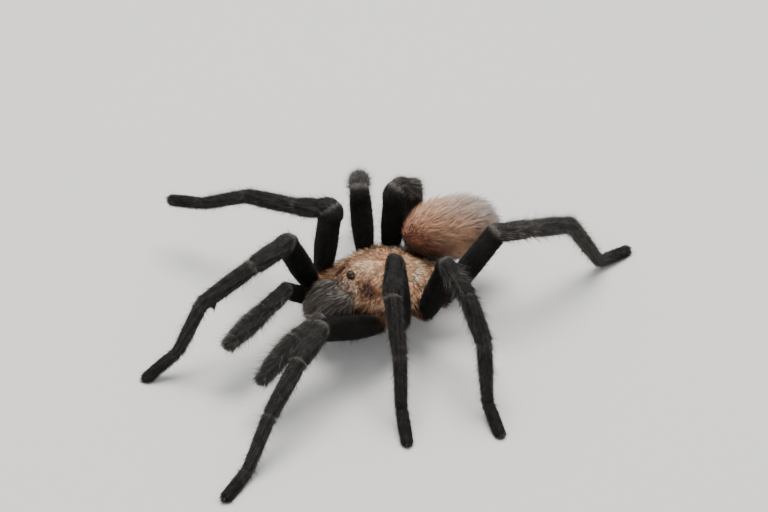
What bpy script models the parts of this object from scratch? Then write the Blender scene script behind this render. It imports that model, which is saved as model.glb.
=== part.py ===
"""A tarantula: a full-grown male North American ground spider, life size, in mid stride.

The head faces -Y, the animal's left is +X, and the floor is Z = 0. The origin lies on the floor under
the middle of the whole animal. Every size below is in millimetres, out to the tips of the coat, and
every angle is in degrees. The animal stands on seven feet, each with a small flat on the floor, and
holds its right second foot in the air.
"""

import math

import bmesh
import bpy
from mathutils import Vector

MM = 0.001
GAP = 0.3
SIDES = 12

# Where the middle of the carapace lies, seen from the origin
BODY_X, BODY_Y = 1.09, 0.92

# Carapace, the shield over the front of the body
SHIELD_LENGTH = 18.0
SHIELD_WIDTH = 16.0
SHIELD_TAPER = 0.14
SHIELD_SQUARENESS = 2.3
SHIELD_HEIGHT = 3.7
SHIELD_SIDES = 24
SHIELD_UNDER_RINGS, SHIELD_LIP = (0.3, 0.7), 0.97
SHIELD_TOP_RINGS = (1.0, 0.96, 0.88, 0.76, 0.6, 0.42, 0.22)
RIM_Z = 10.0
RIM_DEPTH = 0.35
BELLY_Z = 9.35
DOME_POWER = 0.5
HEAD_Y, HEAD_RISE, HEAD_SPREAD, HEAD_FADE = -6.0, 2.7, 3.6, 0.3

# Eye mound
MOUND_Y, MOUND_WIDTH, MOUND_LENGTH, MOUND_RISE = -7.1, 2.6, 2.1, 1.0
MOUND_SIDES = 16
MOUND_RINGS = ((0.5, 0.0), (1.0, 0.0), (0.9, 0.45), (0.6, 0.82))

# Breastplate under the body, between the hips of the legs
PLATE_LENGTH, PLATE_WIDTH, PLATE_DEPTH = 10.4, 6.6, 1.6
PLATE_Y, PLATE_Z = 0.3, 6.4
PLATE_SIDES = 20
PLATE_RINGS = ((0.55, -0.5), (0.9, -0.36), (1.0, 0.0), (0.9, 0.4), (0.55, 0.5))

# Jaws and fangs
JAW_ROOT, JAW_TIP = (2.3, -9.2, 10.9), (2.2, -14.2, 7.6)
JAW_OUTLINE = ((0.0, 1.7, 2.3), (0.15, 1.95, 2.8), (0.45, 2.0, 2.95), (0.75, 1.85, 2.6), (0.95, 1.3, 1.8))
FANG_PATH = ((2.1, -13.5, 5.3), (2.05, -12.3, 5.1), (1.95, -11.0, 5.3), (1.85, -9.8, 5.9))
FANG_RADII = (0.65, 0.6, 0.45, 0.26)

# Waist, abdomen and spinnerets
WAIST_ROOT, WAIST_TIP, WAIST_RADIUS = (0.0, 8.7, 8.2), (-0.3, 10.7, 9.0), 0.85
ABDOMEN_MIDDLE = (-1.4, 15.5, 14.5)
ABDOMEN_LENGTH, ABDOMEN_WIDTH, ABDOMEN_HEIGHT = 18.8, 11.8, 11.0
ABDOMEN_SWELL, ABDOMEN_FULLNESS = 0.09, 2.25
ABDOMEN_TURN, ABDOMEN_PITCH = 7.0, -6.0
ABDOMEN_SIDES, ABDOMEN_STEPS = 20, 11
SPINNERET_ROOT, SPINNERET_LENGTH, SPINNERET_RADIUS = (0.95, 23.1, 9.25), 3.4, 0.55
SPINNERET = ((0.0, 1.0, 1.0), (0.5, 1.0, 1.0), (0.85, 0.8, 0.8), (1.0, 0.45, 0.45))

# Legs: lengths of the femur, patella, tibia, metatarsus and tarsus, and how thick each pair is
LEG_LENGTHS = {
    1: (16.0, 7.4, 11.7, 10.7, 8.2),
    2: (12.9, 7.0, 10.9, 10.5, 7.8),
    3: (13.3, 6.3, 9.6, 12.0, 7.6),
    4: (15.1, 6.4, 12.3, 14.6, 8.0),
}
LEG_GIRTH = {1: 1.0, 2: 0.99, 3: 0.98, 4: 0.98}
PALP_LENGTHS = (9.2, 6.2, 8.8, 2.8)

# Where each limb leaves the breastplate, and where its femur hinges, on the left side
# (0 is the feeler, 1 to 4 are the legs)
COXA_ROOTS = {
    0: (2.9, -6.3, 6.9),
    1: (4.1, -4.5, 7.1),
    2: (4.6, -1.6, 7.2),
    3: (4.6, 1.5, 7.2),
    4: (4.1, 4.5, 7.1),
}
HIPS = {
    0: (6.2, -10.5, 6.9),
    1: (8.6, -7.9, 8.4),
    2: (10.2, -3.3, 8.7),
    3: (10.6, 2.2, 8.7),
    4: (8.6, 7.2, 8.4),
}


# How far the stride swings each limb's hip back along the body (minus is forward), on the left (1) and
# the right (-1)
HIP_SWING = {
    1: {0: -0.4, 1: 0.4, 2: 0.2, 3: -0.15, 4: 0.2},
    -1: {0: -0.3, 1: -1.9, 2: -3.0, 3: 1.2, 4: 0.5},
}

# Outlines along each piece: (part of its length, half width, half height)
COXA = ((0.0, 1.2, 1.2), (0.2, 1.6, 1.35), (0.6, 2.0, 1.2), (0.8, 1.95, 1.3), (1.0, 1.6, 1.5))
FEMUR = ((0.0, 1.5, 1.6), (0.12, 1.85, 2.0), (0.4, 2.12, 2.3), (0.75, 2.08, 2.2), (1.0, 1.75, 1.85))
PATELLA = ((0.0, 1.6, 1.65), (0.35, 1.75, 1.8), (0.75, 1.8, 1.8), (1.0, 1.55, 1.55))
TIBIA = ((0.0, 1.4, 1.45), (0.25, 1.5, 1.55), (0.7, 1.45, 1.5), (1.0, 1.3, 1.35))
METATARSUS = ((0.0, 1.2, 1.25), (0.2, 1.25, 1.25), (0.7, 1.15, 1.15), (1.0, 1.07, 1.1))
TARSUS = ((0.0, 1.07, 1.07), (0.35, 1.17, 1.13), (0.75, 1.13, 1.1))
PALP_FEMUR = ((0.0, 1.2, 1.3), (0.2, 1.45, 1.6), (0.6, 1.55, 1.7), (1.0, 1.45, 1.5))
PALP_PATELLA = ((0.0, 1.4, 1.45), (0.5, 1.6, 1.6), (1.0, 1.45, 1.45))
PALP_TIBIA = ((0.0, 1.4, 1.45), (0.35, 1.6, 1.6), (0.75, 1.55, 1.5), (1.0, 1.25, 1.2))
PALP_TARSUS = ((0.0, 1.15, 1.15), (0.35, 1.25, 1.2))
COXA_GIRTH_PALP = 0.85

# Feet: the pad's radius, and how much of it the floor flattens
PAD_RADIUS = 1.1
PAD_PRESS = 0.26
PALP_PAD_RADIUS = 1.05
PAD_RINGS = (0, 30, 60)

# Spurs under the end of the first tibiae
SPUR_AT, SPUR_STEPS = 2, ((0.75, 0.6), (0.55, 0.55))

# How far the outer side of a bend reaches past its hinge, in radii
ELBOW = 0.5

# Stance: the turn of the femur, patella and shank from straight out (minus is forward), and the lift of
# the femur, patella, tibia and tarsus. The metatarsus reaches down to the floor, or to foot_z.
STANCE = {
    "left_1": dict(turn=(-78, -65, -64), lift=(25, -14, -25, -5), foot_z=0.0),
    "left_2": dict(turn=(-88, -39, -26), lift=(82, -12, -36, -22), foot_z=0.0),
    "left_3": dict(turn=(7, 2, -16), lift=(67, -23, -24, -18), foot_z=0.0),
    "left_4": dict(turn=(79, 82, 98), lift=(48, -9, -22, -8), foot_z=0.0),
    "right_1": dict(turn=(-113, -95, -74), lift=(59, -10, -32, -36), foot_z=0.0),
    "right_2": dict(turn=(82, -25, -26), lift=(81, -16, -7, -13), foot_z=10.7),
    "right_3": dict(turn=(-8, 35, 35), lift=(83, -18, -45, -15), foot_z=0.0),
    "right_4": dict(turn=(9, 74, 30), lift=(96, -28, -72, -14), foot_z=0.0),
}
PALP_STANCE = {
    "left": dict(turn=(-88, -78, -70, -70), lift=(37, -1, -15, -20)),
    "right": dict(turn=(-102, -108, -109, -109), lift=(37, -6, -6, -13)),
}

# Colours: base colour, roughness
COLOURS = {
    "shield": ((0.30, 0.15, 0.07), 0.6),
    "dark_coat": ((0.035, 0.026, 0.022), 0.75),
    "abdomen_coat": ((0.33, 0.16, 0.09), 0.85),
    "underside": ((0.05, 0.035, 0.028), 0.8),
    "horn": ((0.012, 0.01, 0.01), 0.25),
}


def clear_scene():
    for obj in list(bpy.data.objects):
        bpy.data.objects.remove(obj)


def material(name):
    """The named coat or horn as a Principled material, made once."""
    found = bpy.data.materials.get(name)
    if found:
        return found
    colour, roughness = COLOURS[name]
    made = bpy.data.materials.new(name)
    made.use_nodes = True
    shader = made.node_tree.nodes["Principled BSDF"]
    shader.inputs["Base Color"].default_value = (*colour, 1.0)
    shader.inputs["Roughness"].default_value = roughness
    return made


def finish(bm, name, coat):
    """Turns a bmesh in millimetres into a closed, smooth-shaded object in metres."""
    bmesh.ops.recalc_face_normals(bm, faces=bm.faces)
    bmesh.ops.scale(bm, vec=(MM, MM, MM), verts=bm.verts)
    mesh = bpy.data.meshes.new(name)
    bm.to_mesh(mesh)
    bm.free()
    mesh.shade_smooth()
    mesh.set_sharp_from_angle(angle=math.radians(50))
    mesh.materials.append(material(coat))
    obj = bpy.data.objects.new(name, mesh)
    bpy.context.scene.collection.objects.link(obj)


def skin_rings(bm, rings, start, end):
    """Joins rings of points into a tube, and closes it with a fan to each end point."""
    loops = [[bm.verts.new(point) for point in ring] for ring in rings]
    for near, far in zip(loops, loops[1:]):
        for i in range(len(near)):
            j = (i + 1) % len(near)
            bm.faces.new((near[i], near[j], far[j], far[i]))
    for loop, middle in ((loops[0][::-1], start), (loops[-1], end)):
        hub = bm.verts.new(middle)
        for i in range(len(loop)):
            bm.faces.new((loop[i], loop[(i + 1) % len(loop)], hub))
    return loops


def place(point, side=1):
    """A point given on the left side of the body, moved to its side and to the body's place."""
    return Vector((side * point[0] + BODY_X, point[1] + BODY_Y, point[2]))


def hip_at(limb, side):
    """Where a limb's hip is in the body, swung along it by the stride."""
    x, y, z = HIPS[limb]
    return x, y + HIP_SWING[side][limb], z


def heading(side, turn, lift):
    """The unit direction of a limb piece, and the level direction across it."""
    turn, lift = math.radians(turn), math.radians(lift)
    level = Vector((side * math.cos(turn), math.sin(turn), 0.0))
    along = level * math.cos(lift) + Vector((0.0, 0.0, math.sin(lift)))
    return along, Vector((-level.y, level.x, 0.0))


def limb_joints(side, hip, lengths, turns, lifts):
    """The hinge points of a limb from its hip outwards, with each piece's directions."""
    points = [place(hip, side)]
    ways = []
    for length, turn, lift in zip(lengths, turns, lifts):
        along, across = heading(side, turn, lift)
        points.append(points[-1] + along * length)
        ways.append((along, across))
    return points, ways


def leg_angles(pair, stance):
    """All five turns and lifts of a leg, with the metatarsus lifted so that the foot ends at foot_z."""
    lengths = LEG_LENGTHS[pair]
    femur, patella, tibia, tarsus = stance["lift"]
    sink = PAD_PRESS if stance["foot_z"] == 0.0 else 0.0
    tip_z = stance["foot_z"] + PAD_RADIUS * (1.0 + math.sin(math.radians(tarsus))) - sink
    ankle_z = tip_z - lengths[4] * math.sin(math.radians(tarsus))
    shin_z = HIPS[pair][2]
    for length, lift in zip(lengths, (femur, patella, tibia)):
        shin_z += length * math.sin(math.radians(lift))
    metatarsus = math.degrees(math.asin((ankle_z - shin_z) / lengths[3]))
    first, second, shank = stance["turn"]
    return (first, second, shank, shank, shank), (femur, patella, tibia, metatarsus, tarsus)


def upward(along, across):
    """The direction square to both, on the upper side."""
    up = along.cross(across)
    return up if up.z >= 0.0 else -up


def ellipse(along, across, wide, high):
    """The offsets of a ring's points from its middle, on an ellipse square to the piece."""
    up = upward(along, across)
    angles = [math.tau * i / SIDES for i in range(SIDES)]
    return [across * (wide * math.cos(a)) + up * (high * math.sin(a)) for a in angles]


def hinge_shifts(along, offsets, other, clear, limit):
    """How far each point of an end ring moves along its piece to lie on the hinge's mitre plane.

    The plane halves the angle to the other piece, and lies the clearance away: ahead of the ring where
    that is zero or more, behind it where it is less. The limit keeps the outer side of a bend short.
    """
    normal = (other + along).normalized()
    shifts = [(clear - offset.dot(normal)) / along.dot(normal) for offset in offsets]
    if clear >= 0.0:
        return [max(shift, -limit) for shift in shifts]
    return [min(shift, limit) for shift in shifts]


def piece_rings(start, end, way, outline, girth, before, after, clear=GAP / 2):
    """The rings of one limb piece, mitred to the directions of its neighbours at both ends."""
    along, across = way
    rings = [ellipse(along, across, wide * girth, high * girth) for _, wide, high in outline]
    near = [0.0] * SIDES
    if before is not None:
        near = hinge_shifts(along, rings[0], before, clear, ELBOW * outline[0][2] * girth)
    far = [0.0] * SIDES
    if after is not None:
        far = hinge_shifts(along, rings[-1], after, -clear, ELBOW * outline[-1][2] * girth)
    placed = []
    for (part, _, _), offsets in zip(outline, rings):
        middle = start.lerp(end, part)
        shifts = [a * (1.0 - part) + b * part for a, b in zip(near, far)]
        placed.append([middle + offset + along * shift for offset, shift in zip(offsets, shifts)])
    return placed


def limb_piece(name, start, end, way, outline, girth, before, after, spur=0):
    """One limb piece as a closed solid between two hinges; spur is its side where it has one, else 0."""
    bm = bmesh.new()
    along = way[0]
    rings = piece_rings(start, end, way, outline, girth, before, after)
    caps = (start + along * (GAP / 2), end - along * (GAP / 2))
    loops = skin_rings(bm, rings, *caps)
    if spur:
        grow_spur(bm, loops, spur)
    finish(bm, name, "dark_coat")


def grow_spur(bm, loops, side):
    """The mating spur under the end of a first tibia: one face drawn out twice, narrowing."""
    lower = SIDES * 3 // 4
    column = lower if side > 0 else lower - 1
    near, far = loops[-1 - SPUR_AT], loops[-SPUR_AT]
    corners = {near[column], near[(column + 1) % SIDES], far[column], far[(column + 1) % SIDES]}
    face = next(f for f in bm.faces if set(f.verts) == corners)
    for step, narrow in SPUR_STEPS:
        face.normal_update()
        grown = bmesh.ops.extrude_discrete_faces(bm, faces=[face])["faces"][0]
        middle = grown.calc_center_median()
        move = face_outward(grown, loops) * step
        for vert in grown.verts:
            vert.co = middle + (vert.co - middle) * narrow + move
        face = grown


def face_outward(face, loops):
    """The face's normal, turned away from the middle of the piece."""
    ring = loops[-1]
    middle = sum((v.co for v in ring), Vector()) / len(ring)
    face.normal_update()
    normal = face.normal.copy()
    if normal.dot(face.calc_center_median() - middle) < 0.0:
        normal.negate()
    return normal


def padded_end(rings, tip, way, radius):
    """Adds the rounded pad at the end of a foot, as rings on a sphere that ends at the tip."""
    along, across = way
    centre = tip - along * radius
    for angle in PAD_RINGS:
        size = radius * math.cos(math.radians(angle))
        middle = centre + along * (radius * math.sin(math.radians(angle)))
        rings.append([middle + offset for offset in ellipse(along, across, size, size)])


def cut_at_floor(bm):
    """Cuts the mesh off at the floor and closes the cut, which leaves the flat the foot rests on."""
    whole = bm.verts[:] + bm.edges[:] + bm.faces[:]
    floor = dict(plane_co=(0, 0, 0), plane_no=(0, 0, 1))
    cut = bmesh.ops.bisect_plane(bm, geom=whole, clear_inner=True, **floor)
    rim = [item for item in cut["geom_cut"] if isinstance(item, bmesh.types.BMEdge)]
    if rim:
        bmesh.ops.edgeloop_fill(bm, edges=rim)


def foot_piece(name, points, ways, outlines, girth, before, pad):
    """The last two pieces of a limb as one solid with a bend between them and a rounded end."""
    bm = bmesh.new()
    (first_way, last_way), (first, last) = ways, outlines
    rings = piece_rings(points[0], points[1], first_way, first, girth, before, last_way[0])
    tail = piece_rings(points[1], points[2], last_way, last, girth, first_way[0], None, 0.0)
    rings += tail[1:]
    padded_end(rings, points[2], last_way, pad)
    skin_rings(bm, rings, points[0] + first_way[0] * (GAP / 2), points[2])
    cut_at_floor(bm)
    finish(bm, name, "dark_coat")


def coxa_piece(name, side, limb, way_out):
    """A coxa with its trochanter: a wedge between its neighbours, which swells to the hip hinge."""
    start, end = place(COXA_ROOTS[limb], side), place(hip_at(limb, side), side)
    along = (end - start).normalized()
    across = Vector((-along.y, along.x, 0.0)).normalized()
    girth = COXA_GIRTH_PALP if limb == 0 else LEG_GIRTH[limb]
    neighbours = [n for n in (limb - 1, limb + 1) if n in HIPS]
    outline = []
    for part, wide, high in COXA:
        here = start.lerp(end, part)
        room = min(distance_to_axis(here, side, n) for n in neighbours) / 2 - GAP / 2
        outline.append((part, min(wide * girth, room), high * girth))
    limb_piece(name, start, end, (along, across), outline, 1.0, None, way_out)


def distance_to_axis(point, side, limb):
    """The level distance from a point to the line through another limb's coxa."""
    start, end = place(COXA_ROOTS[limb], side), place(hip_at(limb, side), side)
    run = (end - start).to_2d()
    part = max(0.0, min(1.0, (point - start).to_2d().dot(run) / run.length_squared))
    return ((point - start).to_2d() - run * part).length


def leg(side_name, side, pair):
    """The five solids of one leg: coxa, femur, patella, tibia, and metatarsus with tarsus."""
    prefix = f"leg_{side_name}_{pair}"
    turns, lifts = leg_angles(pair, STANCE[f"{side_name}_{pair}"])
    points, ways = limb_joints(side, hip_at(pair, side), LEG_LENGTHS[pair], turns, lifts)
    girth = LEG_GIRTH[pair]
    root = (points[0] - place(COXA_ROOTS[pair], side)).normalized()
    coxa_piece(f"{prefix}_coxa", side, pair, ways[0][0])
    before = root
    for i, (name, outline) in enumerate((("femur", FEMUR), ("patella", PATELLA), ("tibia", TIBIA))):
        spur = side if name == "tibia" and pair == 1 else 0
        after = ways[i + 1][0]
        limb_piece(f"{prefix}_{name}", *points[i : i + 2], ways[i], outline, girth, before, after, spur)
        before = ways[i][0]
    outlines = (METATARSUS, TARSUS)
    foot_piece(f"{prefix}_foot", points[3:], ways[3:], outlines, girth, before, PAD_RADIUS)


def palp(side_name, side):
    """The four solids of one feeler: coxa, femur, patella, and tibia with its blunt tarsus."""
    prefix = f"palp_{side_name}"
    stance = PALP_STANCE[side_name]
    points, ways = limb_joints(side, hip_at(0, side), PALP_LENGTHS, stance["turn"], stance["lift"])
    root = (points[0] - place(COXA_ROOTS[0], side)).normalized()
    coxa_piece(f"{prefix}_coxa", side, 0, ways[0][0])
    before = root
    for i, (name, outline) in enumerate((("femur", PALP_FEMUR), ("patella", PALP_PATELLA))):
        after = ways[i + 1][0]
        limb_piece(f"{prefix}_{name}", *points[i : i + 2], ways[i], outline, 1.0, before, after)
        before = ways[i][0]
    outlines = (PALP_TIBIA, PALP_TARSUS)
    foot_piece(f"{prefix}_tibia", points[2:], ways[2:], outlines, 1.0, before, PALP_PAD_RADIUS)


def squared(a, b):
    """The sum that is 1 on the rim of an outline a little squarer than an ellipse."""
    return abs(a) ** SHIELD_SQUARENESS + abs(b) ** SHIELD_SQUARENESS


def shield_half_width(y):
    """The carapace's half width across its middle, scaled for its taper towards the head."""
    return SHIELD_WIDTH / 2 * (1.0 + SHIELD_TAPER * 2.0 * y / SHIELD_LENGTH)


def shield_top(x, y):
    """The height of the carapace: a dome over its outline, raised at the head."""
    inside = max(0.0, 1.0 - squared(2.0 * y / SHIELD_LENGTH, x / shield_half_width(y)))
    dome = SHIELD_HEIGHT * inside**DOME_POWER
    away = math.hypot(x, y - HEAD_Y) / HEAD_SPREAD
    return RIM_Z + dome + HEAD_RISE * math.exp(-(away**2) / 2) * inside**HEAD_FADE


def shield_point(radius, angle):
    """A point of the carapace's plan: radius 0 to 1, angle from the front."""
    reach = radius * squared(math.cos(angle), math.sin(angle)) ** (-1.0 / SHIELD_SQUARENESS)
    y = -reach * math.cos(angle) * SHIELD_LENGTH / 2
    return reach * math.sin(angle) * shield_half_width(y), y


def carapace():
    """The shield: a dome over a shallow underside, closed at its rim."""
    bm = bmesh.new()
    angles = [math.tau * i / SHIELD_SIDES for i in range(SHIELD_SIDES)]
    rings = [[(*shield_point(radius, a), BELLY_Z) for a in angles] for radius in SHIELD_UNDER_RINGS]
    rings.append([(*shield_point(SHIELD_LIP, a), RIM_Z - RIM_DEPTH) for a in angles])
    for radius in SHIELD_TOP_RINGS:
        plan = [shield_point(radius, a) for a in angles]
        rings.append([(x, y, shield_top(x, y)) for x, y in plan])
    rings = [[place(point) for point in ring] for ring in rings]
    skin_rings(bm, rings, place((0.0, 0.0, BELLY_Z)), place((0.0, 0.0, shield_top(0.0, 0.0))))
    finish(bm, "carapace", "shield")


def eye_mound():
    """The low mound that carries the eyes, set on the head just above the carapace."""
    bm = bmesh.new()
    rings = []
    for radius, rise in MOUND_RINGS:
        ring = []
        for i in range(MOUND_SIDES):
            angle = math.tau * i / MOUND_SIDES
            x = radius * math.cos(angle) * MOUND_WIDTH / 2
            y = MOUND_Y + radius * math.sin(angle) * MOUND_LENGTH / 2
            ring.append(place((x, y, shield_top(x, y) + GAP + rise * MOUND_RISE)))
        rings.append(ring)
    base = shield_top(0.0, MOUND_Y) + GAP
    skin_rings(bm, rings, place((0.0, MOUND_Y, base)), place((0.0, MOUND_Y, base + MOUND_RISE)))
    finish(bm, "eye_mound", "horn")


def breastplate():
    """The sternum: a thick oval plate under the body, with blunt edges."""
    bm = bmesh.new()
    rings = []
    for radius, height in PLATE_RINGS:
        ring = []
        for i in range(PLATE_SIDES):
            angle = math.tau * i / PLATE_SIDES
            x = radius * math.cos(angle) * PLATE_WIDTH / 2
            y = PLATE_Y + radius * math.sin(angle) * PLATE_LENGTH / 2
            ring.append(place((x, y, PLATE_Z + height * PLATE_DEPTH)))
        rings.append(ring)
    low, high = PLATE_Z - PLATE_DEPTH / 2, PLATE_Z + PLATE_DEPTH / 2
    skin_rings(bm, rings, place((0.0, PLATE_Y, low)), place((0.0, PLATE_Y, high)))
    finish(bm, "sternum", "underside")


def jaw(side_name, side):
    """A chelicera: the deep, blunt base of one jaw."""
    start, end = place(JAW_ROOT, side), place(JAW_TIP, side)
    along = (end - start).normalized()
    across = Vector((-along.y, along.x, 0.0)).normalized()
    upright = Vector((along.x, along.y, -along.z))
    limb_piece(f"chelicera_{side_name}", start, end, (along, across), JAW_OUTLINE, 1.0, upright, None)


def fang(side_name, side):
    """A fang folded back under its jaw: a curved, tapering horn."""
    bm = bmesh.new()
    path = [place(point, side) for point in FANG_PATH]
    rings = []
    for i, radius in enumerate(FANG_RADII):
        along = (path[min(i + 1, len(path) - 1)] - path[max(i - 1, 0)]).normalized()
        across = Vector((1.0, 0.0, 0.0))
        rings.append([path[i] + offset for offset in ellipse(along, across, radius, radius)])
    skin_rings(bm, rings, path[0], path[-1])
    finish(bm, f"fang_{side_name}", "horn")


def waist():
    """The narrow waist between carapace and abdomen."""
    start, end = place(WAIST_ROOT), place(WAIST_TIP)
    along = (end - start).normalized()
    outline = [(part, WAIST_RADIUS, WAIST_RADIUS) for part in (0.0, 0.5, 1.0)]
    limb_piece("pedicel", start, end, (along, Vector((1.0, 0.0, 0.0))), outline, 1.0, None, None)


def abdomen():
    """The abdomen: an egg with its wider end behind."""
    bm = bmesh.new()
    middle = place(ABDOMEN_MIDDLE)
    back, side = heading(1, 90.0 - ABDOMEN_TURN, ABDOMEN_PITCH)
    up = upward(back, side)
    rings = []
    for k in range(1, ABDOMEN_STEPS):
        part = -math.cos(math.pi * k / ABDOMEN_STEPS)
        size = math.sqrt(1.0 - abs(part) ** ABDOMEN_FULLNESS) * (1.0 + ABDOMEN_SWELL * part)
        ring = []
        for i in range(ABDOMEN_SIDES):
            angle = math.tau * i / ABDOMEN_SIDES
            offset = side * (math.cos(angle) * size * ABDOMEN_WIDTH / 2)
            offset += up * (math.sin(angle) * size * ABDOMEN_HEIGHT / 2)
            ring.append(middle + back * (part * ABDOMEN_LENGTH / 2) + offset)
        rings.append(ring)
    reach = back * (ABDOMEN_LENGTH / 2)
    skin_rings(bm, rings, middle - reach, middle + reach)
    finish(bm, "abdomen", "abdomen_coat")


def spinneret(side_name, side):
    """One of the two long spinnerets behind and below the abdomen."""
    way = heading(1, 90.0 - ABDOMEN_TURN, ABDOMEN_PITCH)
    start = place(SPINNERET_ROOT, side)
    behind = SPINNERET_ROOT[1] - ABDOMEN_MIDDLE[1]
    start.x += ABDOMEN_MIDDLE[0] + math.sin(math.radians(ABDOMEN_TURN)) * behind
    end = start + way[0] * SPINNERET_LENGTH
    limb_piece(f"spinneret_{side_name}", start, end, way, SPINNERET, SPINNERET_RADIUS, None, None)


def build():
    clear_scene()
    carapace()
    eye_mound()
    breastplate()
    waist()
    abdomen()
    for side_name, side in (("left", 1), ("right", -1)):
        jaw(side_name, side)
        fang(side_name, side)
        spinneret(side_name, side)
        palp(side_name, side)
        for pair in LEG_LENGTHS:
            leg(side_name, side, pair)


build()
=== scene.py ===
"""The looks of a full-grown male North American ground tarantula, life size, in mid stride.

Sizes are in millimetres and angles in degrees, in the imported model's frame: the head faces -Y, the
animal's left is +X and the floor is Z = 0. Each limb and body part has one skin, which lies inside the
CAD solids by the depth of the coat, and a coat of solid hair tufts that reaches out to them. Skin and
coat of a part take their colours from the same function, through the colour attribute "tint".
"""

import math
from types import SimpleNamespace

import bpy
import numpy as np
from mathutils import Matrix, Vector


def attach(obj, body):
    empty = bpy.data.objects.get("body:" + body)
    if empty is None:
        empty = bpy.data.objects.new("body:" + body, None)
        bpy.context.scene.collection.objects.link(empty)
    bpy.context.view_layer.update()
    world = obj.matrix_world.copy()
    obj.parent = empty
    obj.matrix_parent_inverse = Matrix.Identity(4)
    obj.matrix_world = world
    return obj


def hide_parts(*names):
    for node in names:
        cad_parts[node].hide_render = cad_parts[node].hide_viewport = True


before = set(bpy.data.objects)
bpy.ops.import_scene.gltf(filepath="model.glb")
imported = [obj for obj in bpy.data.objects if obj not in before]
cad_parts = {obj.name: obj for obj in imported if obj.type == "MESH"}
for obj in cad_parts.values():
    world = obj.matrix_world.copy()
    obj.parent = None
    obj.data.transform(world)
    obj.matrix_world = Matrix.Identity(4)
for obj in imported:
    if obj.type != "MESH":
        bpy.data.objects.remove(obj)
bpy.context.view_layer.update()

MM = 0.001
UP = np.array((0.0, 0.0, 1.0))
SIDES = (("left", 1), ("right", -1))

# The stance, as the CAD model has it. Limb 0 is the palp, and 1 to 4 are the pairs of legs. Side 1 is the
# left and -1 the right. A leg's stance is the turns of its femur, patella and shin, and then the lifts of
# all its pieces but the metatarsus.
BODY_X, BODY_Y = 1.09, 0.92
LENGTHS = (
    (9.2, 6.2, 8.8, 2.8),
    (16.0, 7.4, 11.7, 10.7, 8.2),
    (12.9, 7.0, 10.9, 10.5, 7.8),
    (13.3, 6.3, 9.6, 12.0, 7.6),
    (15.1, 6.4, 12.3, 14.6, 8.0),
)
GIRTHS, PAD_RADII, PAD_PRESS = (1.0, 1.0, 0.99, 0.98, 0.98), (1.05, 1.1, 1.1, 1.1, 1.1), 0.26
COXA_ROOTS = ((2.9, -6.3, 6.9), (4.1, -4.5, 7.1), (4.6, -1.6, 7.2), (4.6, 1.5, 7.2), (4.1, 4.5, 7.1))
HIPS = ((6.2, -10.5, 6.9), (8.6, -7.9, 8.4), (10.2, -3.3, 8.7), (10.6, 2.2, 8.7), (8.6, 7.2, 8.4))
HIP_SWING = {1: (-0.4, 0.4, 0.2, -0.15, 0.2), -1: (-0.3, -1.9, -3.0, 1.2, 0.5)}
STANCE = {
    1: (
        ((-88, -78, -70, -70), (37, -1, -15, -20)),
        ((-78, -65, -64), (25, -14, -25, -5)),
        ((-88, -39, -26), (82, -12, -36, -22)),
        ((7, 2, -16), (67, -23, -24, -18)),
        ((79, 82, 98), (48, -9, -22, -8)),
    ),
    -1: (
        ((-102, -108, -109, -109), (37, -6, -6, -13)),
        ((-113, -95, -74), (59, -10, -32, -36)),
        ((82, -25, -26), (81, -16, -7, -13)),
        ((-8, 35, 35), (83, -18, -45, -15)),
        ((9, 74, 30), (96, -28, -72, -14)),
    ),
}
RAISED = {(-1, 2): 10.7}

# Outlines out to the tips of the coat: (place along the limb, half width, half height). The whole part
# of the place counts the hinges, from the trunk outwards.
LEG_OUTLINE = (
    (0.0, 1.2, 1.2), (0.3, 1.5, 1.35), (0.7, 1.75, 1.3), (0.95, 1.5, 1.5),
    (1.05, 1.5, 1.6), (1.12, 1.85, 2.0), (1.4, 2.12, 2.3), (1.75, 2.08, 2.2), (1.95, 1.8, 1.9),
    (2.05, 1.65, 1.7), (2.35, 1.75, 1.8), (2.75, 1.8, 1.8), (2.95, 1.58, 1.6),
    (3.05, 1.42, 1.47), (3.25, 1.5, 1.55), (3.7, 1.45, 1.5), (3.95, 1.3, 1.35),
    (4.05, 1.22, 1.25), (4.2, 1.25, 1.25), (4.7, 1.15, 1.15), (4.95, 1.07, 1.1),
    (5.05, 1.07, 1.07), (5.35, 1.17, 1.13), (5.75, 1.13, 1.1), (6.0, 1.1, 1.1),
)
PALP_OUTLINE = (
    (0.0, 1.1, 1.0), (0.3, 1.3, 1.1), (0.7, 1.5, 1.15), (0.95, 1.3, 1.25),
    (1.05, 1.2, 1.3), (1.2, 1.45, 1.6), (1.6, 1.55, 1.7), (1.95, 1.45, 1.5),
    (2.05, 1.4, 1.45), (2.5, 1.6, 1.6), (2.95, 1.45, 1.45),
    (3.05, 1.4, 1.45), (3.35, 1.6, 1.6), (3.75, 1.55, 1.5), (3.96, 1.25, 1.2),
    (4.1, 1.15, 1.15), (4.35, 1.25, 1.2), (5.0, 1.05, 1.05),
)
LIMB_PARTS = ("coxa", "femur", "patella", "tibia", "foot")
LIMB_COAT, LIMB_SIDES, RING_STEP = 0.2, 32, 0.4
BEND = 1.12  # the radius of the arc at a hinge, over the limb's half width there
LIMB_TIP_ANGLES = (12, 27, 42, 56, 70, 82)

# The male's two spurs under the first tibiae: (place along the leg, turn towards the outside, height)
SPURS = ((3.86, 22.0, 1.0), (3.9, -20.0, 0.7))

# Claws: (outwards, upwards) from the root of each
CLAW_PATH, CLAW_RADII = ((0.0, 0.0), (0.3, 0.1), (0.6, 0.02), (0.8, -0.22)), (0.1, 0.09, 0.06, 0.02)

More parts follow.
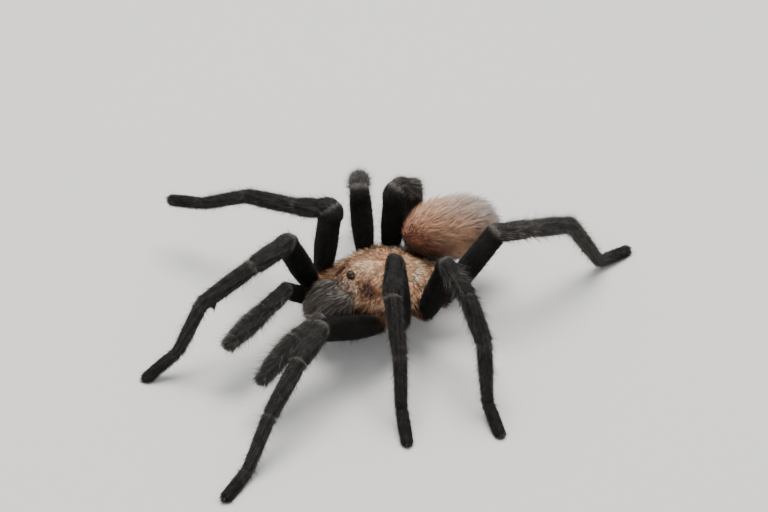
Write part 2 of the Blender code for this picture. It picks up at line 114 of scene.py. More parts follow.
# Carapace
SHIELD_LENGTH, SHIELD_WIDTH, SHIELD_TAPER, SHIELD_SQUARENESS = 18.0, 16.0, 0.14, 2.3
SHIELD_HEIGHT, RIM_Z, BELLY_Z, DOME_POWER = 3.7, 10.0, 9.35, 0.5
HEAD_Y, HEAD_RISE, HEAD_SPREAD, HEAD_FADE = -6.0, 2.7, 3.6, 0.3
SHIELD_COAT = 0.3

# Furrows: (angle from straight ahead, reach), and the wide ones beside the head
FOVEA_Y = 2.2
FURROWS, HEAD_FURROW = ((118.0, 8.5), (82.0, 7.5), (48.0, 7.2), (150.0, 6.5)), (24.0, 10.5)

# Eye mound, and the eyes of its left half: (angle from the side, angle from the top, half sizes)
MOUND_Y, MOUND_WIDTH, MOUND_LENGTH, MOUND_RISE = -7.1, 2.6, 2.1, 1.0
EYES = (
    (-72.0, 38.0, (0.21, 0.21, 0.16)),
    (-28.0, 62.0, (0.24, 0.17, 0.14)),
    (22.0, 62.0, (0.21, 0.15, 0.12)),
    (48.0, 42.0, (0.15, 0.12, 0.09)),
)

# Jaws and fangs
JAW_ROOT, JAW_TIP, JAW_COAT = (2.3, -9.2, 10.9), (2.2, -14.2, 7.6), 0.3
JAW_OUTLINE = (
    (-0.15, 1.3, 1.6), (0.0, 1.7, 2.3), (0.15, 1.95, 2.8), (0.45, 2.0, 2.95), (0.75, 1.85, 2.6),
    (0.95, 1.3, 1.8),
)
JAW_TIP_ANGLES, JAW_TIP_START, JAW_TIP_RUN = (15, 30, 45, 58, 70, 80), 0.82, 0.17
FANG_PATH = ((2.1, -13.5, 5.3), (2.05, -12.3, 5.1), (1.95, -11.0, 5.3), (1.85, -9.8, 5.9))
FANG_RADII = (0.62, 0.56, 0.4, 0.08)

# Abdomen and spinnerets
ABDOMEN_MIDDLE = (-1.4, 15.5, 14.5)
ABDOMEN_LENGTH, ABDOMEN_WIDTH, ABDOMEN_HEIGHT = 18.8, 11.8, 11.0
ABDOMEN_SWELL, ABDOMEN_FULLNESS = 0.09, 2.25
ABDOMEN_TURN, ABDOMEN_PITCH = 7.0, -6.0
ABDOMEN_COAT_FRONT, ABDOMEN_COAT_REAR = 0.35, 0.85
SPECKS, SPECK_SIZE = ((2.8, 18.4, 18.7), (2.2, 19.2, 18.9), (3.4, 18.9, 18.2)), 0.45
SPINNERET_ROOT, SPINNERET_RUNS = (0.95, 23.1, 9.25), (-1.0, 0.8, 2.2, 3.3)
SPINNERET_RADII = (0.5, 0.5, 0.42, 0.2)

# Trunk, waist and breastplate
TRUNK_MIDDLE, TRUNK_SIZES = (0.0, -0.1, 7.9), (5.8, 8.9, 2.0)
WAIST_PATH = ((0, 7.4, 8.2), (0, 8.8, 8.2), (-0.2, 10.2, 8.8), (-0.4, 11.6, 10.0))
WAIST_RADII = (1.0, 0.7, 0.75, 1.2)
STERNUM_MIDDLE, STERNUM_SIZES = (0.0, 0.3, 6.75), (3.2, 5.1, 1.1)

# Coats: the locks of hair, the spikes in a lock where there are several, and the range of lengths or of
# tilts out of the surface of each kind of hair
LIMB_HAIRS, SPINNERET_HAIRS = (12000, 22000, 22000, 22000, 22000), 900
SHIELD_HAIRS, JAW_HAIRS, ABDOMEN_HAIRS = (5400, 9), (3600, 6), (6900, 7)
FOOT_LENGTHS, COXA_LENGTHS, BRISTLE_LENGTHS = (0.5, 0.75), (1.0, 1.9), (1.3, 2.1)
LIMB_TILTS, BRUSH_TILTS, COXA_TILTS, BRISTLE_TILTS = (8, 24), (45, 70), (14, 36), (26, 54)
SHIELD_HAIR_LENGTH, FRINGE_LENGTH, BROW_LENGTH, EYE_HAIR_LENGTH = 0.9, 2.4, 0.9, 0.5
OVERCOAT_LENGTHS, UNDERCOAT_LENGTHS = (2.4, 3.7), (1.2, 2.0)
OVERCOAT_TILTS, UNDERCOAT_TILTS = (8, 30), (6, 16)
ROOT_DEPTH, PATCH = 0.04, 0.0015
LEAST_HAIR_Z, LEAST_CLAW_Z, LEAST_SKIN_Z = 0.01, 0.03, 0.04

# How light each limb is beyond its femur, and how hoary: the place at which its pale bristles end
TONES, HOARY = (1.5, 1.0, 0.75, 0.85, 1.4), (4.6, 0.0, 0.0, 3.0, 3.0)

# Colours, as linear red, green and blue
DARK, UMBER, RUSSET, PALE = np.array((
    (0.0075, 0.0067, 0.006), (0.034, 0.0315, 0.029), (0.17, 0.08, 0.042), (0.34, 0.30, 0.26),
))
GOLD, COPPER, BRONZE, IVORY, BROW = np.array((
    (0.92, 0.52, 0.27), (0.42, 0.17, 0.075), (0.115, 0.032, 0.013), (1.0, 0.86, 0.68), (0.42, 0.34, 0.30),
))
TAN, RUST, CREAM, BROWN_BLACK = np.array((
    (0.64, 0.38, 0.24), (0.27, 0.105, 0.055), (1.0, 0.96, 0.94), (0.035, 0.016, 0.009),
))
JAW_GREY, JAW_FRINGE, MOUND_BROWN = np.array((
    (0.047, 0.041, 0.035), (0.32, 0.10, 0.035), (0.035, 0.020, 0.013),
))
HORN_BLACK, EYE_BLACK = (0.012, 0.009, 0.008), (0.004, 0.003, 0.003)
SKIN_GRAIN, HAIR_GRAIN = (1500.0, 0.6, 1.3), (900.0, 0.8, 1.2)  # a noise's scale, and the shares it gives
FLOOR_GREY, SKY, SKY_STRENGTH = (0.62, 0.61, 0.59, 1.0), (0.93, 0.96, 1.0, 1.0), 0.7

# Lamps: name, place, size, power and colour
LAMPS = (
    ("key", (-90.0, 60.0, 660.0), 420.0, 7.6, (1.0, 0.98, 0.95)),
    ("fill", (520.0, -420.0, 420.0), 500.0, 1.6, (0.95, 0.97, 1.0)),
)

# Camera: where it looks from, how far off, and its lens on a 36 mm sensor
AIM = (1.09, 0.92, 6.0)
CAMERA_AZIMUTH, CAMERA_ELEVATION, CAMERA_ROLL = 54.5, 36.5, 0.5
CAMERA_DISTANCE, CAMERA_LENS = 852.0, 220.6
AIM_ACROSS, AIM_ABOVE = 0.09, 7.68


# ---- small helpers


def unit(vectors):
    """Vectors brought to a length of 1."""
    return vectors / np.maximum(np.linalg.norm(vectors, axis=-1, keepdims=True), 1e-12)


def dot(a, b):
    """The products of rows of vectors, as a column."""
    return np.sum(a * b, axis=-1, keepdims=True)


def between(a, b, share):
    """a where the share is 0 and b where it is 1, for numbers."""
    return a + (b - a) * share


def mix(a, b, share):
    """The same for colours and directions."""
    return between(a, b, np.asarray(share)[..., None])


def smooth(value, low, high):
    """0 below low, 1 above high, and an S between."""
    part = np.clip((value - low) / (high - low), 0.0, 1.0)
    return part * part * (3.0 - 2.0 * part)


def bump(value, middle, width):
    """1 at the middle, falling off as a bell."""
    return np.exp(-(((value - middle) / width) ** 2))


def circle(count):
    """The angles of even steps round a full turn."""
    return math.tau * np.arange(count) / count


def ease(rows, times):
    """Evens out rows of numbers in place: each becomes a quarter, a half and a quarter of three."""
    for _ in range(times):
        rows[:, 1:-1] = (rows[:, :-2] + 2 * rows[:, 1:-1] + rows[:, 2:]) / 4


def place(point, side=1):
    """A point given from the body's middle line, on one side, in the model's frame."""
    return np.array((side * point[0] + BODY_X, point[1] + BODY_Y, point[2]))


def from_middle(points):
    """x and y of points, from the body's middle."""
    return points[:, 0] - BODY_X, points[:, 1] - BODY_Y


def ripples(points, size, seed):
    """A smooth random number near -1 to 1 at each point: a sum of sines in fixed odd directions."""
    rng = np.random.default_rng(seed)
    total = 0.0
    for _ in range(5):
        way = rng.normal(size=3)
        way *= rng.uniform(0.6, 1.4) / np.linalg.norm(way) * math.tau / size
        total = total + np.sin(points @ way + rng.uniform(0.0, math.tau))
    return total / 2.5


# ---- meshes


def write_mesh(name, points, faces, tints=None, maps=None):
    """A smooth mesh from points in millimetres and arrays of faces, turned so that it faces out."""
    a, b, c = (points[np.concatenate([part[:, k] for part in faces])] for k in range(3))
    if np.sum(dot(a, np.cross(b, c))) < 0.0:
        faces = [part[:, ::-1] for part in faces]
    loops = np.concatenate([part.ravel() for part in faces])
    sizes = np.concatenate([np.full(len(part), part.shape[1]) for part in faces])
    mesh = bpy.data.meshes.new(name)
    mesh.vertices.add(len(points))
    mesh.vertices.foreach_set("co", (points * MM).astype(np.float32).ravel())
    mesh.loops.add(len(loops))
    mesh.loops.foreach_set("vertex_index", loops.astype(np.int32))
    mesh.polygons.add(len(sizes))
    mesh.polygons.foreach_set("loop_start", (np.cumsum(sizes) - sizes).astype(np.int32))
    mesh.update(calc_edges=True)
    mesh.shade_smooth()
    if tints is not None:
        tint = mesh.color_attributes.new("tint", "FLOAT_COLOR", "POINT")
        opaque = np.concatenate([tints, np.ones((len(points), 1))], axis=1)
        tint.data.foreach_set("color", opaque.astype(np.float32).ravel())
    if maps is not None:
        layer = mesh.uv_layers.new(name="OFBake")
        layer.data.foreach_set("uv", maps[loops].astype(np.float32).ravel())
    return mesh


def put(name, data):
    """A new object in the scene."""
    obj = bpy.data.objects.new(name, data)
    bpy.context.scene.collection.objects.link(obj)
    return obj


def piece(mesh, material, slot, *nodes):
    """Puts a mesh into the scene as a piece of the model, with its finish, and hides the CAD nodes it stands
    for.
    """
    obj = put(mesh.name, mesh)
    mesh.materials.append(material)
    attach(obj, "root")
    if nodes:
        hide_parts(*nodes)


def solid(name, shape, tint, material, slot, *nodes):
    """A piece from a shape's points and faces. The tint is None, or one for all points or for each."""
    grid, faces = shape
    if tint is not None:
        tint = np.broadcast_to(tint, grid.shape)
    piece(write_mesh(name, grid, faces, tint), material, slot, *nodes)


def closed_grid(rows, poles):
    """Points and faces of a surface whose rows are rings, closed at each end by a fan to its pole."""
    count, around = rows.shape[:2]
    start, j = np.arange(count)[:, None] * around, np.arange(around)
    here, after = start + j, start + (j + 1) % around
    quads = np.stack([here[:-1], after[:-1], after[1:], here[1:]], -1).reshape(-1, 4)
    pole = np.full(around, count * around)
    fans = np.stack([after[0], here[0], pole], -1), np.stack([here[-1], after[-1], pole + 1], -1)
    return np.concatenate([rows.reshape(-1, 3), poles]), [quads, *fans]


def joined(shapes):
    """Several shapes' points and faces as one."""
    points, faces, start = [], [], 0
    for grid, parts in shapes:
        points.append(grid)
        faces += [part + start for part in parts]
        start += len(grid)
    return np.concatenate(points), faces


def dome(middle, out, across, sizes, rows, around, reach):
    """Part of an ellipsoid: rings from near its top, out to the angle reach from it, closed below."""
    out, across = unit(np.array(out)), np.array(across)
    across = unit(across - (across @ out) * out)
    third = np.cross(out, across)
    polar = np.radians(np.linspace(reach / rows, reach, rows))[:, None]
    angle = circle(around)[None]
    ring = (np.sin(polar) * np.cos(angle))[..., None] * across * sizes[0]
    ring = ring + (np.sin(polar) * np.sin(angle))[..., None] * third * sizes[1]
    ring = ring + (np.cos(polar) * np.ones_like(angle))[..., None] * out * sizes[2]
    ends = np.array((middle + out * sizes[2], middle + out * sizes[2] * math.cos(math.radians(reach))))
    return closed_grid(ring + middle, ends)


def swept(path, radii, around=20, fine=28):
    """A tapering tube on the cubic through a path's four points, its rings square to the line."""
    path = np.array(path, float)
    knots, share = np.linspace(0.0, 1.0, len(path)), np.linspace(0.0, 1.0, fine)
    fit = np.polyfit(knots, path, 3)
    line = sum(fit[k] * share[:, None] ** (3 - k) for k in range(4))
    size = np.interp(share, knots, radii)
    along = unit(np.gradient(line, axis=0))
    across = unit(np.cross(along, UP))
    top = np.cross(across, along)
    angle = circle(around)
    ring = across[:, None] * np.cos(angle)[None, :, None] + top[:, None] * np.sin(angle)[None, :, None]
    rows = line[:, None] + ring * size[:, None, None]
    return rows, np.stack([line[0], line[-1] + along[-1] * size[-1]])


# ---- coats


def facing(rows):
    """1 where rows turn so that around x along points out of the surface, else -1."""
    middles = rows.mean(axis=1, keepdims=True)
    along = np.gradient(rows, axis=0)
    around = np.roll(rows, -1, axis=1) - rows
    return 1.0 if np.sum(np.cross(around, along) * (rows - middles)) > 0.0 else -1.0


def scatter(rows, count, seed, weight=1.0):
    """Roots spread over a grid surface, by area and by a weight at each cell.

    Each root takes a share of the summed area, in order, with a random part of a share, and then a random
    place in its cell. A root has its point, the directions out, along and around, its row and turn on the
    grid, its place on the map, and the map's sizes for a millimetre. The seed, a name, begins the random
    numbers: any(low, high) gives one for each root, and sway() a random angle with a slow drift.
    """
    rng = np.random.default_rng([ord(letter) for letter in seed])
    after = np.roll(rows, -1, axis=1)
    a, b, c, d = rows[:-1], after[:-1], after[1:], rows[1:]
    area = np.linalg.norm(np.cross(c - a, d - b), axis=-1) * weight
    summed = np.cumsum(area.ravel())
    cell = np.searchsorted(summed, (np.arange(count) + rng.random(count)) / count * summed[-1])
    i, j = np.divmod(np.minimum(cell, area.size - 1), rows.shape[1])
    u, v = rng.random((2, count, 1))
    a, b, c, d = a[i, j], b[i, j], c[i, j], d[i, j]
    along = (d - a) * (1 - v) + (c - b) * v
    around = (b - a) * (1 - u) + (c - d) * u
    steps, sides = len(rows) - 1, rows.shape[1]
    row, turn = i + u[:, 0], (j + v[:, 0]) / sides
    sizes = np.stack([np.linalg.norm(around, axis=1) * sides, np.linalg.norm(along, axis=1) * steps], -1)
    at = a + (b - a) * v + along * u
    return SimpleNamespace(
        at=at,
        out=unit(np.cross(around, along)) * facing(rows),
        along=unit(along),
        around=unit(around),
        row=row,
        turn=turn,
        map=np.stack([0.02 + 0.96 * turn, 0.02 + 0.96 * row / steps], -1),
        scale=1 / (sizes + 0.05) * 0.96,
        rng=rng,
        any=lambda low=0.0, high=1.0: rng.uniform(low, high, count),
        sway=lambda angle, drift, size, seed: (
            np.radians(rng.normal(0, angle, count)) + drift * ripples(at, size, seed)),
    )


def lie(roots, swing, lead=None):
    """The direction in which the coat lies: along the surface, or along lead, swung by an angle."""
    lead = roots.along if lead is None else unit(lead - dot(lead, roots.out) * roots.out)
    across = np.cross(roots.out, lead)
    return unit(lead * np.cos(swing)[:, None] + across * np.sin(swing)[:, None])


def tufts(name, roots, flat, tilt, lengths, widths, base, tip, hold=1, spread=0.0, gather=0.7):
    """A coat as one mesh of closed three-sided spikes.

    Each root grows a lock of `hold` spikes. Their own roots are spread round it, and their tips draw
    together by the share `gather`. A spike is its root triangle and its point, at root + way x length.
    Its root is sunk a little. On the map each spike is a small patch round its own place.
    """
    def each(values):
        return np.repeat(values, hold, axis=0)

    rng, count = roots.rng, len(roots.at) * hold
    at, out = each(roots.at), each(roots.out)
    rise = flat * np.cos(tilt)[:, None] + roots.out * np.sin(tilt)[:, None]
    turned, apart = rng.random(count) * math.tau, spread * np.sqrt(rng.random(count))
    aside = np.stack([apart * np.sin(turned), apart * np.cos(turned)], -1)
    seat = at + each(roots.around) * aside[:, :1] + each(roots.along) * aside[:, 1:]
    size = each(lengths) * (rng.uniform(0.7, 1.15, count) if hold > 1 else 1.0)
    ends = at + each(unit(rise)) * size[:, None] + (1 - gather) * (seat - at)
    ends[:, 2] = np.maximum(ends[:, 2], LEAST_HAIR_Z)
    way = unit(ends - seat)
    side = unit(np.cross(way, out))
    upper = np.cross(side, way)
    radius = each(widths)[:, None] / 2
    centre = np.clip(each(roots.map) + aside * each(roots.scale), 0.004, 0.996)
    shade = rng.uniform(0.8, 1.2, (count, 1)) if hold > 1 else 1.0
    base, tip = each(base) * shade, each(tip) * shade
    points, spots = [], []
    for angle in np.radians((90.0, 210.0, 330.0)):
        flat, upright = math.cos(angle), math.sin(angle)
        points.append(seat - out * ROOT_DEPTH + (side * flat + upper * upright) * radius)
        spots.append(centre + np.array((flat, upright)) * PATCH)
    points, spots = np.stack(points + [ends], axis=1), np.stack(spots + [centre], axis=1)
    points[..., 2] = np.maximum(points[..., 2], LEAST_HAIR_Z)
    tints = np.clip(np.stack([base, base, base, tip], axis=1), 0.0, 1.0)
    faces = np.array(((0, 2, 1), (0, 1, 3), (1, 2, 3), (2, 0, 3)))
    triangles = (faces[None] + np.arange(count)[:, None, None] * 4).reshape(-1, 3)
    return write_mesh(name, points.reshape(-1, 3), [triangles], tints.reshape(-1, 3), spots.reshape(-1, 2))


# ---- materials


def set_inputs(node, **inputs):
    """Fills a node's sockets, by their names: with a constant, an output, or another node's first output."""
    for key, value in inputs.items():
        socket = node.inputs[key.replace("_", " ")]
        if isinstance(value, bpy.types.Node):
            value = value.outputs[0]
        if isinstance(value, bpy.types.NodeSocket):
            node.id_data.links.new(value, socket)
        else:
            socket.default_value = value


def new_material(name, **inputs):
    """A Principled material, its shader, and a function that adds a node with its inputs."""
    material = bpy.data.materials.new(name)
    material.use_nodes = True
    nodes = material.node_tree.nodes
    set_inputs(nodes["Principled BSDF"], **inputs)

    def add(kind, **inputs):
        node = nodes.new(f"ShaderNode{kind}")
        set_inputs(node, **inputs)
        return node

    return material, nodes["Principled BSDF"], add


def tinted_material(name, roughness, gloss, scale, low, high, pebbled=False):
    """Skin or hair: the attribute "tint" times a fine noise from low to high, and skin's fine pebbles."""
    material, shader, add = new_material(name, Roughness=roughness, Specular_IOR_Level=gloss)
    where = add("TexCoord").outputs["Object"]
    noise = add("TexNoise", Vector=where, Scale=scale, Detail=4.0)
    grade = add("MapRange", Value=noise, From_Min=0.3, From_Max=0.7, To_Min=low, To_Max=high)
    tint, product = add("VertexColor"), add("VectorMath")
    tint.layer_name, product.operation = "tint", "SCALE"
    set_inputs(product, Vector=tint, Scale=grade)
    set_inputs(shader, Base_Color=product)
    if pebbled:
        noise = add("TexNoise", Vector=where, Scale=4000.0, Detail=6.0)
        set_inputs(shader, Normal=add("Bump", Strength=0.6, Distance=0.00008, Height=noise))
    return material


def horn_material(name, colour, roughness):
    """Polished dark horn, with a faint grain in its colour."""
    material, shader, add = new_material(name, Roughness=roughness, Coat_Weight=0.4, Coat_Roughness=0.1)
    noise = add("TexNoise", Vector=add("TexCoord").outputs["Object"], Scale=3000.0)
    ramp = add("ValToRGB", Fac=noise)
    for element, share in zip(ramp.color_ramp.elements, (0.5, 1.8)):
        element.color = (*(share * part for part in colour), 1.0)
    set_inputs(shader, Base_Color=ramp)
    return material


# ---- limbs


def limb_points(side, limb):
    """The hinges of a limb in its stance, from its root in the trunk to its tip.

    The lift of a leg's metatarsus is the one that brings its foot down to its height.
    """
    lengths, (turns, lifts) = LENGTHS[limb], STANCE[side][limb]
    x, y, z = HIPS[limb]
    if limb:
        *lifts, tarsus = lifts
        slope = math.sin(math.radians(tarsus))
        foot_z = RAISED.get((side, limb), -PAD_PRESS)
        ankle_z, shin_z = foot_z + PAD_RADII[limb] * (1.0 + slope) - lengths[4] * slope, z
        for length, lift in zip(lengths, lifts):
            shin_z += length * math.sin(math.radians(lift))
        metatarsus = math.degrees(math.asin((ankle_z - shin_z) / lengths[3]))
        turns, lifts = (*turns, turns[-1], turns[-1]), (*lifts, metatarsus, tarsus)
    turns, lifts = np.radians(turns), np.radians(lifts)
    ways = np.stack([side * np.cos(turns) * np.cos(lifts), np.sin(turns) * np.cos(lifts), np.sin(lifts)], -1)
    runs = np.cumsum(ways * np.array(lengths)[:, None], axis=0)
    hip = place((x, y + HIP_SWING[side][limb], z), side)
    return np.vstack([place(COXA_ROOTS[limb], side), hip, hip + runs])


def straights(points):
    """The directions and lengths of the straight lines between points."""
    steps = np.diff(points, axis=0)
    return unit(steps), np.linalg.norm(steps, axis=1)


def girth_at(outline, coat, where):
    """Half width and half height of the skin at places along a limb or jaw: its outline less the coat."""
    places, *girths = np.transpose(outline)
    return np.stack([np.interp(where, places, girth) for girth in girths]) - coat


def carried(top, start, end):
    """A direction square to start, carried along as start turns to end by the shortest way."""
    axis = np.cross(start, end)
    return unit(top * (start @ end) + np.cross(axis, top) + axis * (axis @ top) / (1.0 + start @ end))


def limb_line(points, outline, tip_radius):
    """The rings' middles, directions, tops, outer sides, swells and places along a limb.

    Straight runs are joined by arcs, whose middle lies just inside the inner side of the bend, so that the
    inner side folds without crossing itself. On the outer side the ring bulges by a power of a sine over the
    arc, which fills the knee out to a rounded corner.
    """
    ways, lengths = straights(points)
    uppers = unit(UP - dot(ways, UP) * ways)
    uppers[1] = carried(uppers[2], ways[2], ways[1])
    last = len(ways) - 1
    setback, radius, turn = np.zeros((3, last + 2))
    for k in range(1, last + 1):
        turn[k] = math.acos(np.clip(ways[k - 1] @ ways[k], -1.0, 1.0))
        radius[k] = BEND * max(girth_at(outline, LIMB_COAT, k))
        setback[k] = radius[k] * math.tan(turn[k] / 2)
    stretches = []
    for k in range(last + 1):
        if k > 0 and turn[k] > 0.01:
            axis = unit(np.cross(ways[k - 1], ways[k]))
            steps = max(3, math.ceil(math.degrees(turn[k]) / 7))
            share = (np.arange(steps) + 0.5) / steps
            angle = (share * turn[k])[:, None]
            along = ways[k - 1] * np.cos(angle) + np.cross(axis, ways[k - 1]) * np.sin(angle)
            inner = np.cross(axis, along)
            pivot = points[k] - ways[k - 1] * setback[k] + np.cross(axis, ways[k - 1]) * radius[k]
            top = uppers[k - 1] * (1 - share[:, None]) + uppers[k] * share[:, None]
            reach = radius[k] / BEND
            slant = min(1.0 / math.cos(turn[k] / 2), 1.5)
            fill = (between(1.06, slant, 0.55) * reach + radius[k] * (slant - 1.0)) / reach - 1.0
            swell = fill * np.sin(math.pi * share) ** 1.3
            where = k + (2 * share - 1) * setback[k] / np.where(share < 0.5, lengths[k - 1], lengths[k])
            stretches.append((pivot - inner * radius[k], along, top, -inner, swell, where))
        end = lengths[k] - (setback[k + 1] if k < last else tip_radius)
        steps = max(3, math.ceil((end - setback[k]) / RING_STEP))
        run, ones = np.linspace(setback[k], end, steps), np.ones((steps, 1))
        middle, where = points[k] + ways[k] * run[:, None], k + run / lengths[k]
        stretches.append((middle, ones * ways[k], ones * uppers[k], ones * UP, np.zeros(steps), where))
    return (np.concatenate(part) for part in zip(*stretches))


def limb_rows(points, outline, tip_radius):
    """The rings of a limb's skin, and each ring's place along the limb.

    A ring is an ellipse across the line, squarer near the knee. Beyond the knee the limb narrows at each
    hinge and swells beside it, and its tip is a round end.
    """
    middle, along, top, outer, swell, where = limb_line(points, outline, tip_radius)
    ways, lengths = straights(points)
    girth = girth_at(outline, LIMB_COAT, where)
    ease(girth, 4)
    joint = np.zeros(len(where))
    for k in (1, *range(3, len(lengths))):
        away = np.where(where < k, (k - where) * lengths[k - 1], (where - k) * lengths[k])
        joint += 0.07 * bump(away, 0.75, 0.35) - 0.15 * bump(away, 0.0, 0.22)
    girth = girth * (1 + joint)
    rise, size = np.sin(np.radians(LIMB_TIP_ANGLES)), np.cos(np.radians(LIMB_TIP_ANGLES))
    middle = np.vstack([middle, middle[-1] + rise[:, None] * ways[-1] * (tip_radius - LIMB_COAT)])
    more = (0, len(size))
    along, top, outer = (np.pad(part, (more, (0, 0)), "edge") for part in (along, top, outer))
    swell = np.pad(swell, more)
    wide, high = np.hstack([girth, girth[:, -1:] * size])
    where = np.append(where, len(lengths) - (1 - rise) * (tip_radius - LIMB_COAT) / lengths[-1])
    top = unit(top - dot(top, along) * along)
    across = np.cross(along, top)
    angles = circle(LIMB_SIDES)
    offset = (across[:, None] * (np.cos(angles)[None, :, None] * wide[:, None, None])
              + top[:, None] * (np.sin(angles)[None, :, None] * high[:, None, None]))
    power = 2.0 + 1.6 * bump(where, 2.0, 0.16)[:, None]
    square = (np.abs(np.cos(angles)) ** power + np.abs(np.sin(angles)) ** power) ** (-1.0 / power)
    offset = offset * square[..., None]
    proud = np.maximum(dot(offset, outer[:, None]), 0.0)
    rows = middle[:, None] + (offset + outer[:, None] * proud * swell[:, None, None])
    rows[..., 2] = np.maximum(rows[..., 2], LEAST_SKIN_Z)
    poles = np.stack([points[0] - ways[0] * 0.4, rows[-1].mean(axis=0) + ways[-1] * 0.03])
    return rows, poles, where


def upward(turn):
    """1 on the top of a ring and -1 below, from the turn round it."""
    return np.sin(turn * math.tau)


def streaks(where, turn, seed):
    """Lengthwise streaks on a limb: a sum of sines that turn quickly round it and slowly along it."""
    rng = np.random.default_rng(seed)
    total = 0.0
    for round_it in (5, 8, 11, 15, 19):
        slow, start = rng.uniform(3, 8), rng.uniform(0, math.tau)
        total = total + np.sin(math.tau * round_it * turn + slow * where + start)
    return total / 2.5


def limb_colour(where, turn, points, tone):
    """Russet at the coxa, with painted shade below; near black on the femur; streaky umber beyond; dark at
    the foot.
    """
    # painted shade: the coxa's russet darkens on the underside of each ring
    under = 0.7 * smooth(-upward(turn), -0.3, 0.5)
    colour = mix(RUSSET * (1 - under)[:, None], DARK, smooth(where, 0.75, 1.12))
    knee = tone * (1.0 + 0.2 * bump(where, 2.5, 0.4))
    streaky = UMBER * (knee * (1.0 + 0.45 * streaks(where, turn, 7)))[:, None]
    colour = mix(colour, streaky, smooth(where, 1.94, 2.01))
    colour = mix(colour, DARK * 2.0, smooth(where, 5.0, 5.5))
    return colour * (1.0 + 0.15 * ripples(points, 2.5, 3))[:, None]


def hinge_pallor(where, turn):
    """How pale the lip of hair is at the knee and just beyond the next two hinges, but not below."""
    shin = 0.55 * bump(where, 3.012, 0.014) + 0.35 * bump(where, 4.012, 0.011)
    return smooth(upward(turn), -0.8, 0.2) * (0.45 * bump(where, 1.985, 0.016) + shin)


def limb_coat(name, rows, where, limb):
    """Short hair lying towards the foot, a brush under the foot, shaggier coxae and sparse long bristles.

    Pale bristles end at the place hoary, and hair from the patella's end on is longer in proportion to it.
    """
    count, hoary = LIMB_HAIRS[limb], HOARY[limb]
    place_of_cell = (where[:-1] + where[1:])[:, None] / 2
    bare = 1.0 - 0.55 * sum(bump(place_of_cell, k + 0.002, 0.012) for k in (2, 3, 4, 5))
    density = bare * (0.6 + 0.4 * smooth(place_of_cell, 0.3, 1.2)) * np.ones(rows.shape[1])
    roots = scatter(rows, count, name, density)
    q = np.interp(roots.row, np.arange(len(where)), where)
    under = smooth(-upward(roots.turn), 0.1, 0.8)
    brush = under * smooth(q, 4.4, 4.8)
    coxa = 1.0 - smooth(q, 0.85, 1.05)
    bristle = roots.any() < 0.03 + 0.08 * smooth(q, 1.98, 2.2) * (1 - smooth(q, 4.8, 5.0))
    lengths = between(0.75, 1.1, smooth(q, 1.9, 2.3)) * roots.any(0.7, 1.25)
    foot = np.maximum(brush, 0.6 * smooth(q, 5.2, 5.9))
    lengths = between(lengths, roots.any(*FOOT_LENGTHS), foot)
    lengths = between(lengths, roots.any(*COXA_LENGTHS), coxa)
    lengths = np.where(bristle, np.maximum(lengths, roots.any(*BRISTLE_LENGTHS)), lengths)
    tilt = between(roots.any(*LIMB_TILTS), roots.any(*BRUSH_TILTS), brush)
    tilt = between(tilt, roots.any(*COXA_TILTS), coxa)
    tilt = np.radians(np.where(bristle & (brush < 0.5), roots.any(*BRISTLE_TILTS), tilt))
    swing = roots.sway(9, 0.2, 3.0, 5)
    frost = bristle * smooth(q, 2.0, 2.1) * (1 - smooth(q, hoary - 0.1, hoary + 0.2))
    frost = frost * (roots.any() < 0.3)
    shaggy = hoary * smooth(q, 2.6, 3.2) * (1 - smooth(q, 4.4, 4.8))
    lengths = lengths * (1 + 0.5 * frost) * (1 + 0.12 * shaggy)
    tilt = tilt + np.radians(3.0 * shaggy * roots.any())
    widths = (np.where(bristle, 0.06, 0.075) - 0.02 * frost) * roots.any(0.8, 1.2)
    ground = limb_colour(q, roots.turn, roots.at, TONES[limb])
    light = roots.any() < 0.18 + 0.18 * streaks(q, roots.turn, 9)
    light = light * smooth(q, 1.95, 2.05) * (1 - brush)
    pale = np.clip(hinge_pallor(q, roots.turn) * roots.any(0.2, 1.5), 0, 1)
    base = mix(ground * 0.8, PALE, 0.5 * pale)
    tip = mix(mix(ground * 1.5, PALE * 0.6, light * 0.75), PALE * 1.6, pale)
    gilt = 0.7 * coxa * roots.any() ** 2.0 * (1 - under)
    tip = mix(mix(tip, PALE * 2.0, frost), GOLD, gilt)
    return tufts(name, roots, lie(roots, swing), tilt, lengths, widths, base, tip)


def grow_spurs(rows, where, side):
    """Raises blunt spurs under the end of the tibia, as bells on the rings that lean towards the foot."""
    middles = rows.mean(axis=1, keepdims=True)
    for at, turned, height in SPURS:
        away = np.angle(np.exp(1j * (circle(LIMB_SIDES) - math.radians(turned * side - 90.0))))
        swell = bump(where, at, 0.035)[:, None] * bump(away, 0.0, 0.34)[None] * height
        along = unit(np.gradient(rows.mean(axis=1), axis=0))[:, None]
        rows = rows + swell[..., None] * (unit(rows - middles) + 0.5 * along)
    return rows


def whole_limb(side_name, side, limb):
    """One limb's skin and coat, with the outline as thick as its girth. A first leg grows spurs."""
    name = f"leg_{side_name}_{limb}" if limb else f"palp_{side_name}"
    points, girth = limb_points(side, limb), GIRTHS[limb]
    outline = np.array(LEG_OUTLINE if limb else PALP_OUTLINE) * (1.0, girth, girth)
    rows, poles, where = limb_rows(points, outline, PAD_RADII[limb])
    if limb == 1:
        rows = grow_spurs(rows, where, side)
    shape = closed_grid(rows, poles)
    spread = np.append(np.repeat(where, LIMB_SIDES), (where[0], where[-1]))
    turn = np.append(np.tile(np.arange(LIMB_SIDES) / LIMB_SIDES, len(where)), (0.0, 0.0))
    ground = limb_colour(spread, turn, shape[0], TONES[limb])
    tint = mix(ground * 0.8, PALE, 0.5 * hinge_pallor(spread, turn))
    nodes = [f"{name}_{part}" for part in LIMB_PARTS[:len(points) - 2]]
    solid(f"{name}_skin", shape, tint, SKIN, "dark_coat", *nodes)
    piece(limb_coat(f"{name}_coat", rows, where, limb), LEG_HAIR, "dark_coat")


